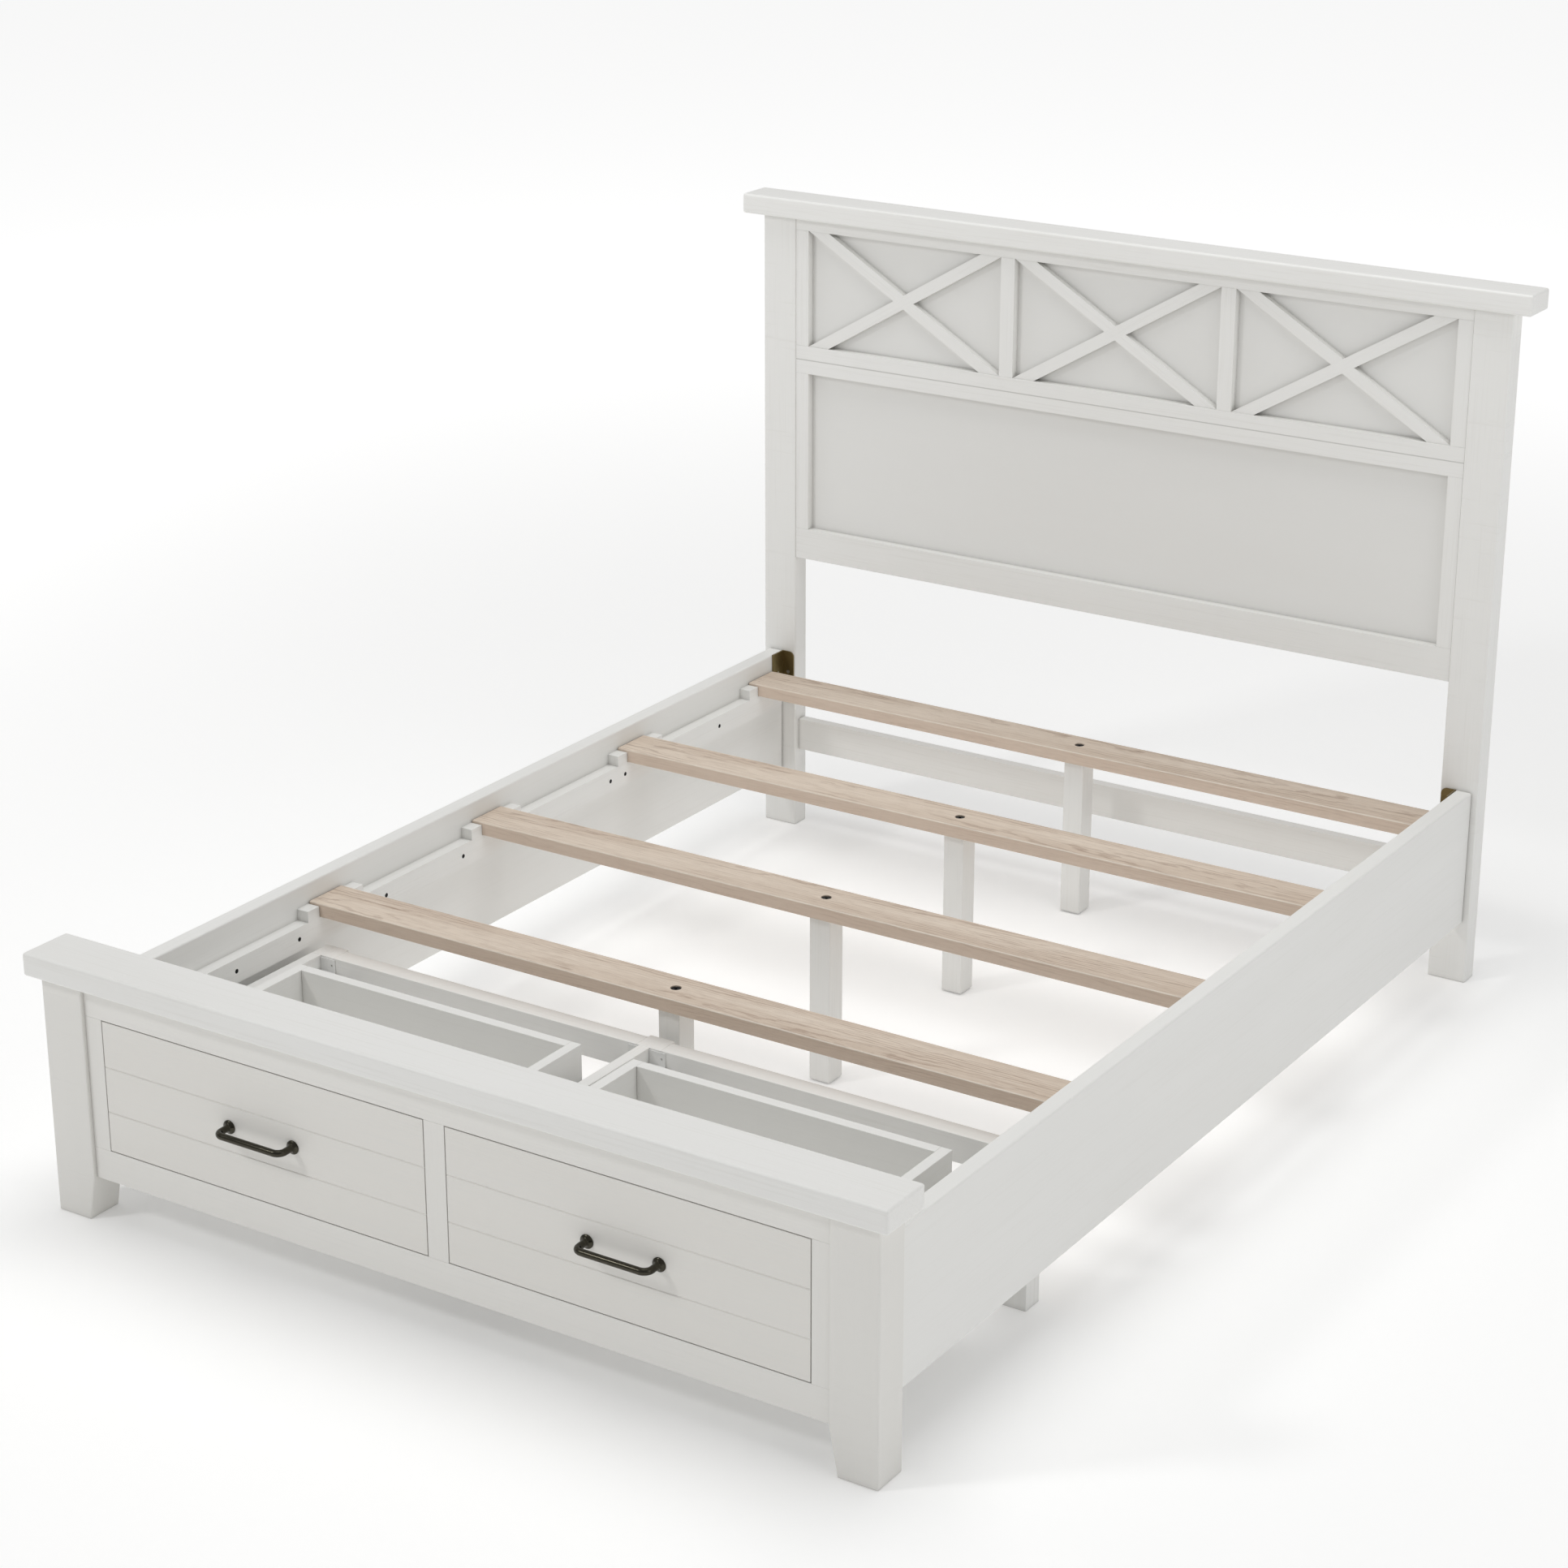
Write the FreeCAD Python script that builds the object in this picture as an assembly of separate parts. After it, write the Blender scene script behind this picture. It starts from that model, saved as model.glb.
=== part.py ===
import FreeCAD, Part
import math
import os

# Queen storage bed frame: X-braced headboard, footboard with two inset drawers,
# side rails with notched ledgers, loose slats with centre legs.
# Millimetres. +X is right seen from the foot end, -Y is the foot end, +Z is up.
# The origin is on the floor, in the middle of the bed's outline.

os.makedirs("parts", exist_ok=True)

# ---------------------------------------------------------------- driving sizes
rail_gap = 1534.0            # between the inner faces of the side rails
rail_length = 2102.0         # between the foot posts and the head posts
rail_thickness = 32.0
rail_height = 268.0
rail_clearance = 125.0       # floor to the rail's underside
rail_set_in = 13.0           # posts stand this far proud of the rails

foot_post_width = 86.0
foot_post_depth = 68.0
foot_post_height = 432.0
foot_post_toe_width = 71.0
foot_cap_thickness = 41.0
foot_cap_end_overhang = 22.0
foot_cap_face_overhang = 18.0

foot_frame_recess = 8.0      # face frame behind the posts' front
foot_frame_thickness = 22.0
foot_bottom_rail_height = 57.0
foot_bottom_clearance = 81.0
foot_top_rail_height = 55.0
foot_end_stile_width = 35.0
foot_centre_stile_width = 40.0

drawer_gap = 1.8             # reveal round a drawer front
drawer_front_thickness = 20.0
drawer_wall = 20.0
drawer_box_depth = 436.0
drawer_box_height = 160.0
drawer_box_top_drop = 59.0   # box top below the opening's top
drawer_bottom_thickness = 6.0
drawer_bottom_lift = 12.0
drawer_plank_width = 82.0    # V grooves are this far apart, from the front's top
drawer_plank_count = 3
drawer_groove_width = 3.2
drawer_groove_depth = 1.4
drawer_side_space = 32.5     # box side to the opening's edge

handle_centres = 133.0
handle_projection = 39.0
handle_bar_diameter = 12.0
handle_bend_radius = 13.0
handle_base_diameter = 24.0
handle_base_thickness = 4.0
handle_base_round = 1.2
handle_drop = 2.0            # handle below the middle of the front
handle_screw_bite = 10.0     # screw's length inside the handle
handle_screw_head_radius = 5.2
handle_screw_head_height = 2.5

slide_thickness = 12.7
slide_height = 45.0
slide_sheet = 1.4
slide_member_step = 6.0      # each member is this much lower than the one around it
slide_front_step = 3.0       # each member's front end behind the outermost one's
slide_middle_lip_from = 3.0  # lips and webs, counted from the batten's face
slide_middle_web_at = 5.0
slide_drawer_lip_from = 7.5
slide_lip_gap = 3.0          # fixed member's lips short of the drawer's side
slide_middle_lip_gap = 3.5
slide_drawer_length = 420.0
slide_batten_height = 52.0
slide_batten_top = 251.0

under_top = 280.0            # top of the drawer support frame
under_stretcher_height = 50.0
under_stretcher_depth = 35.0
under_leg_width = 50.0
under_leg_depth = 43.0
under_leg_face = 580.0       # foot posts' front to the legs' front
under_runner_width = 21.0
side_runner_lap = 6.0        # outer runners and legs reach this far behind a foot post
centre_runner_shift = -8.0   # centre runner's middle off the bed's middle

ledger_thickness = 25.0
ledger_bottom = 287.0
ledger_block_length = 31.0
ledger_block_rise = 21.0
ledger_slat_play = 1.0

slat_top = 358.0
slat_width = 89.0
slat_thickness = 26.0
slat_end_play = 1.0
slat_count = 4
first_slat_place = 663.0     # foot posts' front to the first slat's middle
last_slat_gap = 88.0         # last slat's middle to the head posts
slat_leg_width = 43.0
slat_leg_depth = 45.0
glide_diameter = 30.0
glide_height = 3.0
glide_round = 1.0
glide_stem_diameter = 8.0
glide_stem_length = 14.0

head_post_width = 77.0
head_post_depth = 43.0
head_post_height = 1324.0
head_cap_thickness = 40.0
head_cap_end_overhang = 40.0
head_cap_face_overhang = 19.0
head_frame_recess = 2.0
head_frame_thickness = 36.0
head_stile_width = 30.0
head_bottom_rail_place = 604.0
head_bottom_rail_height = 65.0
head_mid_rail_height = 29.0
head_lower_opening = 333.0
head_upper_opening = 239.0
head_mullion_width = 31.0
head_panel_recess = 17.0
head_panel_thickness = 10.0
head_panel_tongue = 7.0
brace_width = 24.0
brace_set_back = 2.0
stretcher_place = 171.0
stretcher_height = 68.5
stretcher_thickness = 22.0
stretcher_recess = 14.0

bracket_thickness = 3.0
bracket_rail_leg = 41.0
bracket_post_leg = 29.0
bracket_runner_gap = 8.0     # bracket's foot above the drawer support's runners
bracket_corner = 11.0
slide_bracket_width = 33.0
slide_bracket_foot = 34.0
slide_bracket_sheet = 2.0
slide_bracket_drop = 3.0     # bracket's top below the support frame's top
slide_bracket_hole_edge = 7.0

screw_hole_radius = 2.2
screw_head_radius = 4.2
screw_slot_width = 1.2
screw_slot_depth = 0.8
screw_length = 32.0
bracket_screw_length = 22.0
bracket_screw_shares = (0.43, 0.63, 0.83)   # down the bracket's height
bolt_head_radius = 9.5
bolt_shank_radius = 3.0
bolt_length = 60.0
bolt_sink = 2.0
bolt_socket_radius = 3.2
bolt_socket_depth = 6.0
fit_clearance = 0.3

post_round = 3.0
cap_round = 5.0
rail_round = 3.5
board_round = 1.0
slat_round = 2.0
small_round = 0.6

# ---------------------------------------------------------------- worked-out places
rail_inner = rail_gap / 2
rail_outer = rail_inner + rail_thickness
post_outer = rail_outer + rail_set_in
rail_top = rail_clearance + rail_height

front_reach = max(foot_cap_face_overhang, handle_projection - foot_frame_recess)
head_back = foot_post_depth + rail_length + head_post_depth + head_cap_face_overhang
foot_y = (front_reach - head_back) / 2           # foot posts' front face
rail_start = foot_y + foot_post_depth
rail_end = rail_start + rail_length
head_y = rail_end                                # head posts' front face

foot_post_inner = post_outer - foot_post_width
foot_frame_y = foot_y + foot_frame_recess
foot_frame_back = foot_frame_y + foot_frame_thickness
opening_bottom = foot_bottom_clearance + foot_bottom_rail_height
opening_top = foot_post_height - foot_top_rail_height
opening_inner = foot_centre_stile_width / 2
opening_outer = foot_post_inner - foot_end_stile_width
opening_middle = (opening_inner + opening_outer) / 2
opening_width = opening_outer - opening_inner
handle_z = (opening_bottom + opening_top) / 2 - handle_drop

drawer_box_width = opening_width - 2 * drawer_side_space
drawer_box_front = foot_frame_y + drawer_front_thickness
drawer_box_back = drawer_box_front + drawer_box_depth
drawer_box_top = opening_top - drawer_box_top_drop
drawer_box_bottom = drawer_box_top - drawer_box_height
slide_middle_z = slide_batten_top - slide_batten_height / 2
under_leg_y = foot_y + under_leg_face
under_leg_half = under_leg_width / 2
side_leg_outer = foot_post_inner + side_runner_lap
side_leg_inner = side_leg_outer - under_leg_width
side_runner_inner = side_leg_outer - under_runner_width
bracket_height = rail_top - under_top - bracket_runner_gap
centre_runner_x0 = centre_runner_shift - under_runner_width / 2
centre_runner_x1 = centre_runner_shift + under_runner_width / 2

slat_bottom = slat_top - slat_thickness
slat_pitch = (foot_post_depth + rail_length - last_slat_gap - first_slat_place) / (slat_count - 1)
slat_places = [foot_y + first_slat_place + slat_pitch * i for i in range(slat_count)]

head_post_inner = post_outer - head_post_width
head_opening_half = head_post_inner - head_stile_width
head_frame_y = head_y + head_frame_recess
head_panel_y = head_frame_y + head_panel_recess
lower_opening_bottom = head_bottom_rail_place + head_bottom_rail_height
lower_opening_top = lower_opening_bottom + head_lower_opening
mid_rail_seam = lower_opening_top + head_mid_rail_height
upper_opening_bottom = mid_rail_seam + head_mid_rail_height
upper_opening_top = upper_opening_bottom + head_upper_opening
upper_panel_width = (2 * head_opening_half - 2 * head_mullion_width) / 3
mullion_place = upper_panel_width / 2 + head_mullion_width / 2
panel_places = [-2 * mullion_place, 0.0, 2 * mullion_place]

# ledger screws: (slat they are counted from, distance from that slat's middle)
ledger_screws = [(0, -269.0), (0, -102.0), (0, 141.0), (1, -104.0), (2, -103.0), (2, -53.0), (3, -190.0)]


# ---------------------------------------------------------------- helpers
def block(x0, x1, y0, y1, z0, z1):
    corner = FreeCAD.Vector(min(x0, x1), min(y0, y1), min(z0, z1))
    return Part.makeBox(abs(x1 - x0), abs(y1 - y0), abs(z1 - z0), corner)


def board(x0, x1, y0, y1, z0, z1, radius=board_round):
    """A sawn board with all its edges eased."""
    plain = block(x0, x1, y0, y1, z0, z1)
    return plain.makeFillet(radius, plain.Edges)


def prism(points, direction):
    """A closed outline pushed along a direction."""
    corners = [FreeCAD.Vector(*p) for p in points]
    wire = Part.makePolygon(corners + corners[:1])
    return Part.Face(wire).extrude(FreeCAD.Vector(*direction))


def cylinder(radius, length, place, direction):
    return Part.makeCylinder(radius, length, FreeCAD.Vector(*place), FreeCAD.Vector(*direction))


def mirrored(shape):
    return shape.mirror(FreeCAD.Vector(0, 0, 0), FreeCAD.Vector(1, 0, 0))


def save(name, shape):
    shape.exportStep("parts/" + name + ".step")
    print(name, len(shape.Solids), round(shape.Volume / 1000), "cm3")


def save_pair(left_name, right_name, right_shape):
    save(right_name, right_shape)
    save(left_name, mirrored(right_shape))


def both_sides(right_shape):
    return Part.makeCompound([right_shape, mirrored(right_shape)])


# ---------------------------------------------------------------- fasteners
def screw_body(place, direction, length):
    """A flat-head wood screw's outside, or its hole: the head's face is at place."""
    way = FreeCAD.Vector(*direction)
    head_depth = screw_head_radius - screw_hole_radius
    start = FreeCAD.Vector(*place)
    head = Part.makeCone(screw_head_radius, screw_hole_radius, head_depth, start, way)
    shank = Part.makeCylinder(screw_hole_radius, length - head_depth, start + way * head_depth, way)
    return head.fuse(shank).removeSplitter()


def screw(place, direction, length):
    """A flat-head wood screw with a cross recess, its point along direction."""
    reach = screw_hole_radius
    half = screw_slot_width / 2
    bar = block(-reach, reach, -half, half, -screw_slot_depth, screw_slot_depth)
    recess = bar.fuse(block(-half, half, -reach, reach, -screw_slot_depth, screw_slot_depth))
    spin = FreeCAD.Rotation(FreeCAD.Vector(0, 0, 1), FreeCAD.Vector(*direction))
    recess.Placement = FreeCAD.Placement(FreeCAD.Vector(*place), spin)
    return screw_body(place, direction, length).cut(recess).removeSplitter()


def drilled(shape, places, length):
    """A piece with the holes of the screws that go through or into it."""
    for place, way in places:
        shape = shape.cut(screw_body(place, way, length))
    return shape


# ---------------------------------------------------------------- headboard
def head_post():
    back = head_y + head_post_depth
    shape = board(head_post_inner, post_outer, head_y, back, 0, head_post_height, post_round)
    return drilled(shape, bracket_screw_places(True), bracket_screw_length)


def head_cap():
    reach = post_outer + head_cap_end_overhang
    back = head_y + head_post_depth + head_cap_face_overhang
    top = head_post_height + head_cap_thickness
    return board(-reach, reach, head_y - head_cap_face_overhang, back, head_post_height, top, cap_round)


def lower_panel():
    reach = head_opening_half + head_panel_tongue
    return block(-reach, reach, head_panel_y, head_panel_y + head_panel_thickness,
                 lower_opening_bottom - head_panel_tongue, lower_opening_top + head_panel_tongue)


def upper_panel(middle):
    reach = upper_panel_width / 2 + head_panel_tongue
    return block(middle - reach, middle + reach, head_panel_y, head_panel_y + head_panel_thickness,
                 upper_opening_bottom - head_panel_tongue, upper_opening_top + head_panel_tongue)


def grooved(member):
    """A frame member with the grooves that hold the panels' tongues."""
    for panel in [lower_panel()] + [upper_panel(p) for p in panel_places]:
        member = member.cut(panel)
    return member


def head_member(x0, x1, z0, z1):
    plain = board(x0, x1, head_frame_y, head_frame_y + head_frame_thickness, z0, z1, small_round)
    return grooved(plain)


def brace(middle, rising, front_half):
    """One board of an X, half-lapped where it meets the other."""
    half = upper_panel_width / 2
    height = head_upper_opening
    run = half * 2
    foot = brace_width / math.sin(math.atan2(height, run))
    for _ in range(20):
        foot = brace_width / math.sin(math.atan2(height, run - foot))
    z0 = upper_opening_bottom
    z1 = upper_opening_top
    front = head_frame_y + brace_set_back
    depth = head_panel_y - front

    def outline(sign, y):
        return [(middle - sign * half, y, z0), (middle - sign * (half - foot), y, z0),
                (middle + sign * half, y, z1), (middle + sign * (half - foot), y, z1)]

    own = prism(outline(rising, front), (0, depth, 0))
    lap_y = front if not front_half else front + depth / 2
    other = prism(outline(-rising, lap_y), (0, depth / 2, 0))
    return own.cut(other)


def head_stretcher():
    front = head_y + stretcher_recess
    return board(-head_post_inner, head_post_inner, front, front + stretcher_thickness,
                 stretcher_place, stretcher_place + stretcher_height)


# ---------------------------------------------------------------- footboard
def foot_post():
    shape = block(foot_post_inner, post_outer, foot_y, rail_start, 0, foot_post_height)
    taper = foot_post_width - foot_post_toe_width
    wedge = prism([(foot_post_inner, foot_y, 0), (foot_post_inner + taper, foot_y, 0),
                   (foot_post_inner, foot_y, foot_bottom_clearance)], (0, foot_post_depth, 0))
    shape = shape.cut(wedge)
    shape = shape.makeFillet(post_round, shape.Edges)
    return drilled(shape, bracket_screw_places(False), bracket_screw_length)


def foot_cap():
    reach = post_outer + foot_cap_end_overhang
    top = foot_post_height + foot_cap_thickness
    return board(-reach, reach, foot_y - foot_cap_face_overhang, rail_start + foot_cap_face_overhang,
                 foot_post_height, top, cap_round)


def foot_member(x0, x1, z0, z1):
    return board(x0, x1, foot_frame_y, foot_frame_back, z0, z1, small_round)


# ---------------------------------------------------------------- side rails
def side_rail():
    shape = board(rail_inner, rail_outer, rail_start, rail_end, rail_clearance, rail_top, rail_round)
    shape = drilled(shape, ledger_screw_places(), screw_length)
    for at_head in (True, False):
        shape = drilled(shape, bracket_screw_places(at_head), bracket_screw_length)
    return shape


def ledger():
    """A strip along the rail with a pair of blocks that holds each slat."""
    inner = rail_inner - ledger_thickness
    end = rail_end - bracket_rail_leg
    start = rail_start + bracket_rail_leg
    shape = block(inner, rail_inner, start, end, ledger_bottom, slat_bottom)
    for y in slat_places:
        for side in (-1, 1):
            near = y + side * (slat_width / 2 + ledger_slat_play)
            far = near + side * ledger_block_length
            far = min(far, end) if side > 0 else max(far, start)
            if side * (far - near) > ledger_block_length / 2:
                rise = slat_bottom + ledger_block_rise
                shape = shape.fuse(block(inner, rail_inner, near, far, slat_bottom, rise))
    return drilled(shape.removeSplitter(), ledger_screw_places(), screw_length)


def ledger_screw_places():
    z = (ledger_bottom + slat_bottom) / 2
    inner = rail_inner - ledger_thickness
    return [((inner, slat_places[n] + away, z), (1, 0, 0)) for n, away in ledger_screws]


def bed_bracket(at_head):
    """An L-shaped steel angle: one leg on the rail's inner face, the other on the post's face."""
    sign = 1 if at_head else -1
    corner_y = rail_end if at_head else rail_start
    low = rail_top - bracket_height
    rail_leg = block(rail_inner - bracket_thickness, rail_inner,
                     corner_y - sign * bracket_rail_leg, corner_y, low, rail_top)
    post_leg = block(rail_inner - bracket_post_leg, rail_inner,
                     corner_y - sign * bracket_thickness, corner_y, low, rail_top)
    post_edges = [e for e in post_leg.Edges if is_along(e, "y") and e.BoundBox.XMax < rail_inner - 1]
    post_leg = post_leg.makeFillet(bracket_corner, post_edges)
    shape = rail_leg.fuse(post_leg).removeSplitter()
    return drilled(shape, bracket_screw_places(at_head), bracket_screw_length)


def bracket_screw_places(at_head):
    sign = 1 if at_head else -1
    corner_y = rail_end if at_head else rail_start
    rail_leg_y = corner_y - sign * (bracket_rail_leg + bracket_thickness) / 2
    post_leg_x = rail_inner - (bracket_post_leg + bracket_thickness) / 2
    places = []
    for share in bracket_screw_shares:
        z = rail_top - bracket_height * share
        places.append(((rail_inner - bracket_thickness, rail_leg_y, z), (1, 0, 0)))
        places.append(((post_leg_x, corner_y - sign * bracket_thickness, z), (0, sign, 0)))
    return places


def is_along(edge, axis):
    box = edge.BoundBox
    lengths = {"x": box.XLength, "y": box.YLength, "z": box.ZLength}
    return all(lengths[k] < 1e-6 for k in lengths if k != axis)


# ---------------------------------------------------------------- slats and their legs
def slat(y):
    reach = rail_inner - slat_end_play
    shape = board(-reach, reach, y - slat_width / 2, y + slat_width / 2, slat_bottom, slat_top, slat_round)
    seat = (0, y, slat_top - slat_thickness / 2)
    head_hole = cylinder(bolt_head_radius + fit_clearance, slat_thickness, seat, (0, 0, 1))
    shank_hole = cylinder(bolt_shank_radius + fit_clearance, slat_thickness, (0, y, slat_bottom), (0, 0, 1))
    return shape.cut(head_hole).cut(shank_hole)


def slat_bolt(y):
    """A socket-head bolt sunk into the slat's middle, down into the leg."""
    seat = slat_top - slat_thickness / 2
    head_top = slat_top - bolt_sink
    head = cylinder(bolt_head_radius, head_top - seat, (0, y, seat), (0, 0, 1))
    shank = cylinder(bolt_shank_radius, bolt_length, (0, y, seat - bolt_length), (0, 0, 1))
    corners = [(bolt_socket_radius * math.cos(math.radians(60 * i)),
                y + bolt_socket_radius * math.sin(math.radians(60 * i)),
                head_top - bolt_socket_depth) for i in range(6)]
    socket = prism(corners, (0, 0, 2 * bolt_socket_depth))
    return head.fuse(shank).removeSplitter().cut(socket)


def slat_leg(y):
    shape = board(-slat_leg_width / 2, slat_leg_width / 2, y - slat_leg_depth / 2, y + slat_leg_depth / 2,
                  glide_height, slat_bottom, slat_round)
    shank_depth = bolt_length - slat_thickness / 2
    shank = cylinder(bolt_shank_radius, shank_depth, (0, y, slat_bottom - shank_depth), (0, 0, 1))
    stem = cylinder(glide_stem_diameter / 2, glide_stem_length, (0, y, glide_height), (0, 0, 1))
    return shape.cut(shank.fuse(stem))


def glide(y):
    disc = cylinder(glide_diameter / 2, glide_height, (0, y, 0), (0, 0, 1))
    low_edges = [e for e in disc.Edges if e.BoundBox.ZMax < 1]
    disc = disc.makeFillet(glide_round, low_edges)
    stem = cylinder(glide_stem_diameter / 2, glide_stem_length, (0, y, glide_height), (0, 0, 1))
    return disc.fuse(stem)


# ---------------------------------------------------------------- drawer support frame
def under_leg(x0, x1):
    """A leg of the support frame."""
    return board(x0, x1, under_leg_y, under_leg_y + under_leg_depth, 0, under_top, board_round)


def under_stretcher(x0, x1):
    return board(x0, x1, under_leg_y, under_leg_y + under_stretcher_depth,
                 under_top - under_stretcher_height, under_top)


def under_runner(x0, x1, start):
    return board(x0, x1, start, under_leg_y, under_top - under_stretcher_height, under_top, small_round)


def slide_side(drawer_middle, side):
    """The box side's outer face at a slide."""
    return drawer_middle + side * drawer_box_width / 2


def batten(wall_face, drawer_middle, side):
    """The strip that fills from a runner to the fixed slide member."""
    slide_face = slide_side(drawer_middle, side) + side * slide_thickness
    low = slide_batten_top - slide_batten_height
    return board(wall_face, slide_face, foot_frame_back, under_leg_y, low, slide_batten_top, small_round)


def channel(face, side, depth, web_at, height, y0, y1, lip_from):
    """A rolled slide member: a web and two lips. face is the batten side of the whole slide,
    and distances from it count towards the drawer, against side."""
    def strip(near, far, z0, z1):
        return block(face - side * near, face - side * far, y0, y1, z0, z1)

    low = slide_middle_z - height / 2
    high = slide_middle_z + height / 2
    web = strip(web_at, web_at + slide_sheet, low, high)
    lip_low = strip(lip_from, depth, low, low + slide_sheet)
    lip_high = strip(lip_from, depth, high - slide_sheet, high)
    return web.fuse(lip_low).fuse(lip_high).removeSplitter()


def slide_members(drawer_middle, side):
    """Fixed, middle and drawer members of one ball-bearing slide, nested with running gaps."""
    face = slide_side(drawer_middle, side) + side * slide_thickness
    start = foot_frame_back
    fixed = channel(face, side, slide_thickness - slide_lip_gap, 0.0, slide_height, start, under_leg_y, 0.0)
    middle_start = start + 2 * slide_front_step
    middle_length = (slide_drawer_length + under_leg_y - start) / 2
    middle = channel(face, side, slide_thickness - slide_middle_lip_gap, slide_middle_web_at,
                     slide_height - slide_member_step, middle_start, middle_start + middle_length,
                     slide_middle_lip_from)
    inner_start = start + slide_front_step
    inner = channel(face, side, slide_thickness, slide_thickness - slide_sheet,
                    slide_height - 2 * slide_member_step, inner_start, inner_start + slide_drawer_length,
                    slide_drawer_lip_from)
    return fixed, middle, inner


def slide_bracket(wall_face, drawer_middle, side):
    """A steel angle: plate on the leg's front, foot on the batten's top."""
    slide_face = slide_side(drawer_middle, side) + side * slide_thickness
    width = min(slide_bracket_width, abs(wall_face - slide_face))
    near = wall_face - side * fit_clearance
    far = wall_face - side * width
    plate = block(near, far, under_leg_y - slide_bracket_sheet, under_leg_y,
                  slide_batten_top, under_top - slide_bracket_drop)
    foot = block(near, far, under_leg_y - slide_bracket_foot, under_leg_y,
                 slide_batten_top, slide_batten_top + slide_bracket_sheet)
    shape = plate.fuse(foot).removeSplitter()
    hole_x = far + side * slide_bracket_hole_edge
    hole_z = (slide_batten_top + under_top) / 2
    hole = cylinder(screw_hole_radius, 2 * slide_bracket_sheet,
                    (hole_x, under_leg_y - 1.5 * slide_bracket_sheet, hole_z), (0, 1, 0))
    return shape.cut(hole)


# ---------------------------------------------------------------- drawers
def drawer_front(middle):
    x0 = middle - opening_width / 2 + drawer_gap
    x1 = middle + opening_width / 2 - drawer_gap
    z0 = opening_bottom + drawer_gap
    z1 = opening_top - drawer_gap
    shape = board(x0, x1, foot_frame_y, drawer_box_front, z0, z1, small_round)
    half = drawer_groove_width / 2
    for plank in range(1, drawer_plank_count):
        z = z1 - drawer_plank_width * plank
        vee = prism([(x0 - 1, foot_frame_y, z - half), (x0 - 1, foot_frame_y, z + half),
                     (x0 - 1, foot_frame_y + drawer_groove_depth, z)], (x1 - x0 + 2, 0, 0))
        shape = shape.cut(vee)
    for side in (-1, 1):
        hole = cylinder(screw_hole_radius, drawer_front_thickness + drawer_wall,
                        (middle + side * handle_centres / 2, foot_frame_y, handle_z), (0, 1, 0))
        shape = shape.cut(hole)
    return shape


def drawer_bottom(middle):
    reach = drawer_box_width / 2 - drawer_wall / 2
    z0 = drawer_box_bottom + drawer_bottom_lift
    return block(middle - reach, middle + reach, drawer_box_front, drawer_box_back - drawer_wall / 2,
                 z0, z0 + drawer_bottom_thickness)


def drawer_side(middle, side):
    outer = slide_side(middle, side)
    shape = board(outer, outer - side * drawer_wall, drawer_box_front, drawer_box_back,
                  drawer_box_bottom, drawer_box_top)
    return shape.cut(drawer_bottom(middle))


def drawer_back(middle):
    reach = drawer_box_width / 2 - drawer_wall
    shape = board(middle - reach, middle + reach, drawer_box_back - drawer_wall, drawer_box_back,
                  drawer_box_bottom, drawer_box_top)
    return shape.cut(drawer_bottom(middle))


def drawer_handle(middle):
    """A D-pull: a round bar bent square at both ends, on two round bases."""
    y_face = foot_frame_y
    y_bar = foot_frame_y - handle_projection + handle_bar_diameter / 2
    x0 = middle - handle_centres / 2
    x1 = middle + handle_centres / 2
    bend = handle_bend_radius
    cut = bend * (1 - math.sqrt(0.5))
    z = handle_z

    def point(x, y):
        return FreeCAD.Vector(x, y, z)

    edges = [
        Part.LineSegment(point(x0, y_face), point(x0, y_bar + bend)),
        Part.Arc(point(x0, y_bar + bend), point(x0 + cut, y_bar + cut), point(x0 + bend, y_bar)),
        Part.LineSegment(point(x0 + bend, y_bar), point(x1 - bend, y_bar)),
        Part.Arc(point(x1 - bend, y_bar), point(x1 - cut, y_bar + cut), point(x1, y_bar + bend)),
        Part.LineSegment(point(x1, y_bar + bend), point(x1, y_face)),
    ]
    path = Part.Wire([e.toShape() for e in edges])
    section = Part.Wire([Part.makeCircle(handle_bar_diameter / 2, point(x0, y_face), FreeCAD.Vector(0, -1, 0))])
    shape = path.makePipeShell([section], True, False)
    for x in (x0, x1):
        base = cylinder(handle_base_diameter / 2, handle_base_thickness, (x, y_face, z), (0, -1, 0))
        rim = [e for e in base.Edges if e.BoundBox.YMax < y_face - 1]
        shape = shape.fuse(base.makeFillet(handle_base_round, rim))
    for x in (x0, x1):
        shape = shape.cut(cylinder(screw_hole_radius, handle_screw_bite, (x, y_face, z), (0, -1, 0)))
    return shape.removeSplitter()


def handle_screws(middle):
    screws = []
    for side in (-1, 1):
        x = middle + side * handle_centres / 2
        point = (x, foot_frame_y - handle_screw_bite, handle_z)
        shank = cylinder(screw_hole_radius, handle_screw_bite + drawer_front_thickness, point, (0, 1, 0))
        seat = (x, drawer_box_front, handle_z)
        head = cylinder(handle_screw_head_radius, handle_screw_head_height, seat, (0, 1, 0))
        screws.append(shank.fuse(head).removeSplitter())
    return Part.makeCompound(screws)


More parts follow.
